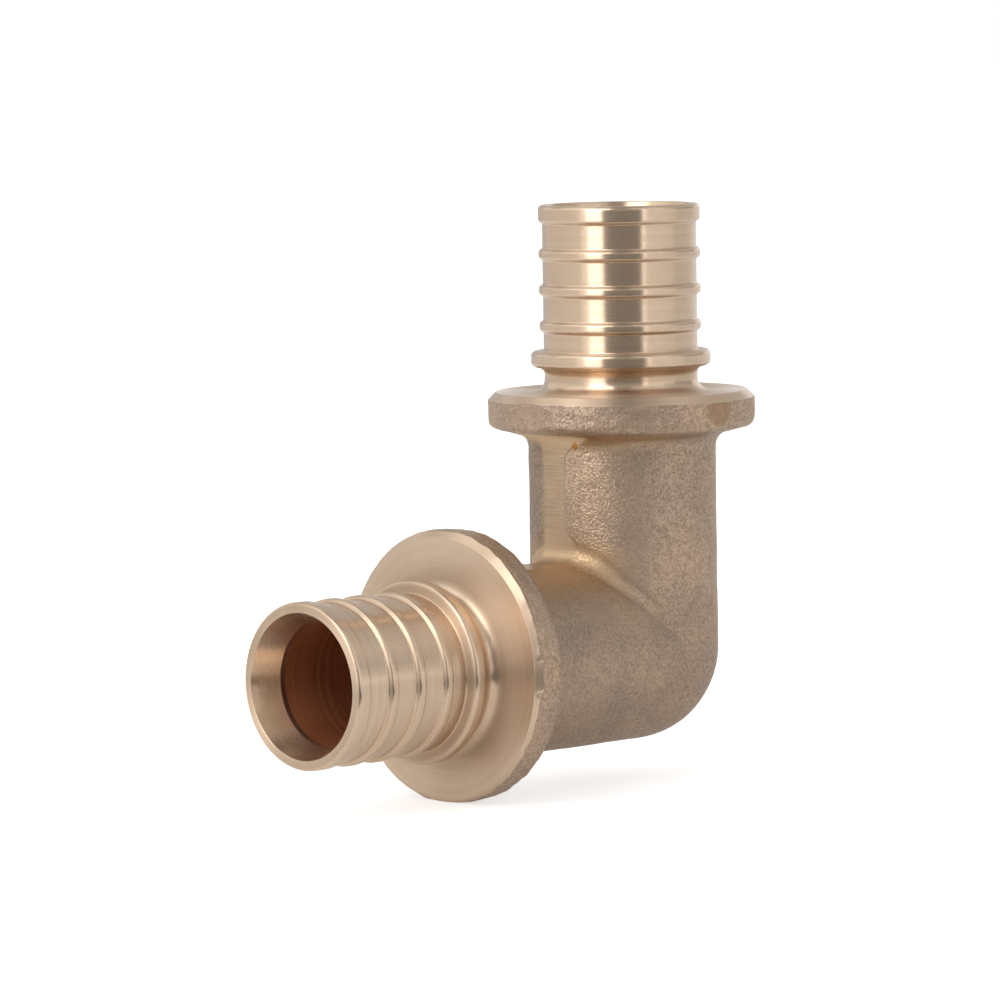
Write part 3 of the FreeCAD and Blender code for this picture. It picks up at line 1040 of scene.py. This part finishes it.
def mark_places(piece, laid_down, face_radius):
    """Store where painted bounce light tints a turned piece and where the edge of its flange face is worn."""
    neck_glow_shares, edges = [], []
    for vertex in piece.data.vertices:
        x, y, z = vertex.co / MM
        station, radius = (-x, math.hypot(y, z)) if laid_down else (z, math.hypot(x, y))
        below = (neck_glow_top - station) / neck_glow_fades
        neck_glow_shares.append(max(0, 1 - below) if below > 0 else 0)
        edges.append(1 if radius > face_radius - edge_near else 0)
    keep_float(piece.data, "tint", neck_glow_shares)
    keep_float(piece.data, "worn_edge", edges)
    print(piece.name, "tinted points:", sum(tint > 0 for tint in neck_glow_shares))


mark_places(upper_spigot, False, upper_face_radius)
mark_places(side_spigot, True, side_face_radius)

# %% [markdown]
# ## Tell the frame which piece stands for what
# The real part is one piece of metal. It is dressed in four, because the turned, forged and drilled faces
# are made in different ways. All four belong to one solid body and take the place of the one CAD part.

# %% Join the pieces to the frame
for piece in brass_pieces:
    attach(piece, "root")
    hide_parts("elbow_body")
visual_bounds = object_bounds()
print("visual box, mm:", [round(v / MM, 2) for corner in visual_bounds for v in corner])

# %% [markdown]
# ## Camera
# The part was photographed a little from above, with both legs in view, from far away with a long lens. A
# camera could be aimed by eye or with a Track To constraint. Here its azimuth, height and roll are given in
# degrees, and its three axes are worked out from them, so that the view can be turned by one number at a
# time.

# %% Camera
view_azimuth, view_elevation, view_roll = map(math.radians, (-44.7024, 4.9146, -0.9169))
view_centre, view_distance = Vector((-6.8026, 8.2791, 12.7853)) * MM, 500 * MM
lens_length, sensor_width = 206.91, 36.0
to_camera = Vector((math.sin(view_azimuth) * math.cos(view_elevation),
                    -math.cos(view_azimuth) * math.cos(view_elevation), math.sin(view_elevation)))
level = Vector((math.cos(view_azimuth), math.sin(view_azimuth), 0))
upward = to_camera.cross(level)
camera_right = level * math.cos(view_roll) + upward * math.sin(view_roll)
camera_up = upward * math.cos(view_roll) - level * math.sin(view_roll)
camera = bpy.data.objects.new("camera", bpy.data.cameras.new("camera"))
bpy.context.scene.collection.objects.link(camera)
camera.data.lens, camera.data.sensor_width = lens_length, sensor_width
turned = Matrix((camera_right, camera_up, to_camera)).transposed().to_4x4()
camera.matrix_world = Matrix.Translation(view_centre + to_camera * view_distance) @ turned
camera.data.clip_start, camera.data.clip_end = 10 * MM, 20.0
bpy.context.scene.camera = camera
print("camera at, mm:", [round(v / MM, 1) for v in camera.matrix_world.translation])

# %% [markdown]
# ## A light tent
# Metal shows its surroundings, so the bright and dark bands on the turned ends come from what stands round
# the part. Lamps would show only as dots in it, so it stands in a round tent whose wall is made of panels.
# Bright ones glow at the left and overhead, with a narrow one in front, and dark cloth hangs round the
# camera. A panel is given by two azimuths and two heights in degrees, as seen from the part. The camera
# doesn't see the panels. Matt surfaces get less light from them than metal does, so that a colour still
# comes out as it is written.


# %% Light helpers
white = colour(1, 1, 1)
tent_middle, tent_radius, panel_step, matt_share = np.array([0, 0, 12.0]), 450.0, 8, 0.85


def faces_between(count):
    """Faces between two rows of points, the second row numbered after the first."""
    return [(i, i + 1, count + i + 1, count + i) for i in range(count - 1)]


def ray_kinds(tree):
    """Whether the camera sent a ray, and whether a shiny surface did."""
    rays = put(tree, "LightPath", {}).outputs
    return rays["Is Camera Ray"], maths(tree, "MAXIMUM", rays["Is Glossy Ray"], rays["Is Transmission Ray"])


def glowing(name, strength):
    """A plain glow, weaker for rays that come from a matt surface."""
    material = bpy.data.materials.new(name)
    tree = empty_network(material)
    from_matt = put(tree, "LightPath", {}).outputs["Is Diffuse Ray"]
    glow = ramp(tree, from_matt, 0, 1, strength, strength * matt_share)
    light = put(tree, "Emission", {"Color": white, "Strength": glow})
    put(tree, "OutputMaterial", {"Surface": light.outputs[0]})
    return material


def on_tent(azimuth, height):
    """Point on the tent wall at an azimuth and a height, both in degrees."""
    a, h = math.radians(azimuth), math.radians(height)
    way = [math.sin(a) * math.cos(h), -math.cos(a) * math.cos(h), math.sin(h)]
    return tent_middle + tent_radius * np.array(way)


def panel_of_tent(name, from_azimuth, to_azimuth, low, high, strength):
    """Hang one glowing panel on the tent wall."""
    steps = np.linspace(from_azimuth, to_azimuth, 2 + int((to_azimuth - from_azimuth) / panel_step))
    points = [on_tent(a, low) for a in steps] + [on_tent(a, high) for a in steps]
    piece = new_piece(name, points, faces_between(len(steps)))
    piece.data.materials.append(glowing(name, strength))
    piece.visible_camera = piece.visible_shadow = False


# %% Panels of the tent: from azimuth, to azimuth, low, high, strength
tent_panels = (
    ("left_softbox_edge", -104, -93.5, -3, 33, 1.3),
    ("left_softbox", -93.5, -70, 8, 33, 3.6),
    ("left_softbox_foot", -93.5, -70, -3, 8, 2.9),
    ("left_softbox_top", -104, -60, 33, 52, 3.5),
    ("dark_cloth", -70, -12, -3, 18, 0.33),
    ("grey_cloth", -70, -12, 18, 33, 0.6),
    ("front_strip_light", -12, -7, -3, 33, 2.1),
    ("front_softbox", -7, 24, 6, 33, 1.1),
    ("right_wall", 24, 170, 18, 33, 0.65),
    ("dim_right", 42, 90, 6, 18, 0.35),
    ("dim_back", 140, 170, -3, 18, 0.6),
    ("back_wall_foot", 170, 256, -3, 8, 0.72),
    ("back_wall", 170, 256, 8, 33, 1.0),
    ("overhead_left", -157, -104, 33, 70, 1.5),
    ("overhead_left_top", -104, -60, 52, 70, 1.6),
    ("dark_cloth_top", -60, -26, 33, 70, 0.45),
    ("overhead_front", -26, 45, 33, 70, 0.9),
    ("overhead_right", 45, 203, 33, 70, 0.65),
    ("top_cloth", -180, 180, 70, 89.9, 0.35))
for name, *measures in tent_panels:
    panel_of_tent(name, *measures)
print("tent panels:", len(tent_panels))

# %% [markdown]
# ## Floor and world
# In the photo the part stands on white, with a faint shadow. Stronger lamps would whiten the floor, but
# they would bleach the metal too. So the floor is pale and glows for the camera, which keeps the shadow,
# and more weakly for the metal's reflections. The world is white for the camera and for the metal's
# reflections, and lights matt surfaces less. A dark mat lies on the floor in front, and only reflections
# show it.

# %% Floor
floor_reach, floor_tone, floor_roughness, floor_shine = 4000, 0.82, 0.8, 0.1
glow_for_camera, glow_in_metal = 0.6, 0.22
floor_height = visual_bounds[0].z / MM
floor_corners = [(x * floor_reach, y * floor_reach, floor_height)
                 for x, y in ((-1, -1), (1, -1), (1, 1), (-1, 1))]
floor = new_piece("floor", floor_corners, [(0, 1, 2, 3)])
floor_paint = bpy.data.materials.new("floor_paint")
tree = empty_network(floor_paint)
from_camera, mirrored = ray_kinds(tree)
glow = maths(tree, "ADD", maths(tree, "MULTIPLY", from_camera, glow_for_camera),
             maths(tree, "MULTIPLY", mirrored, glow_in_metal))
paint = put(tree, "BsdfPrincipled", {
    "Base Color": colour(floor_tone, floor_tone, floor_tone), "Roughness": floor_roughness,
    "Specular IOR Level": floor_shine, "Emission Color": white, "Emission Strength": glow})
put(tree, "OutputMaterial", {"Surface": paint.outputs[0]})
floor.data.materials.append(floor_paint)
print("floor height, mm:", round(floor_height, 2))

# %% Dark mat
mat_near, mat_far, mat_lift, mat_strength = 60.0, 440.0, 0.3, 0.16
mat_sides = [math.radians(a) for a in (-70, -56, -42, -28, -14)]
mat_points = [(r * math.sin(a), -r * math.cos(a), floor_height + mat_lift)
              for r in (mat_near, mat_far) for a in mat_sides]
mat = new_piece("dark_mat", mat_points, faces_between(len(mat_sides)))
mat.data.materials.append(glowing("dark_mat", mat_strength))
mat.visible_camera = mat.visible_shadow = mat.visible_diffuse = False
print("mat from", mat_near, "to", mat_far, "mm")

# %% World
world_for_matt, world_seen = 0.7, 1.0
world = bpy.data.worlds.new("studio")
bpy.context.scene.world = world
tree = empty_network(world)
seen = maths(tree, "MAXIMUM", *ray_kinds(tree))
strength = ramp(tree, seen, 0, 1, world_for_matt, world_seen)
sky = put(tree, "Background", {"Color": white, "Strength": strength})
put(tree, "OutputWorld", {"Surface": sky.outputs[0]})
bpy.context.scene.view_settings.view_transform = "Standard"
print("world:", world.name)
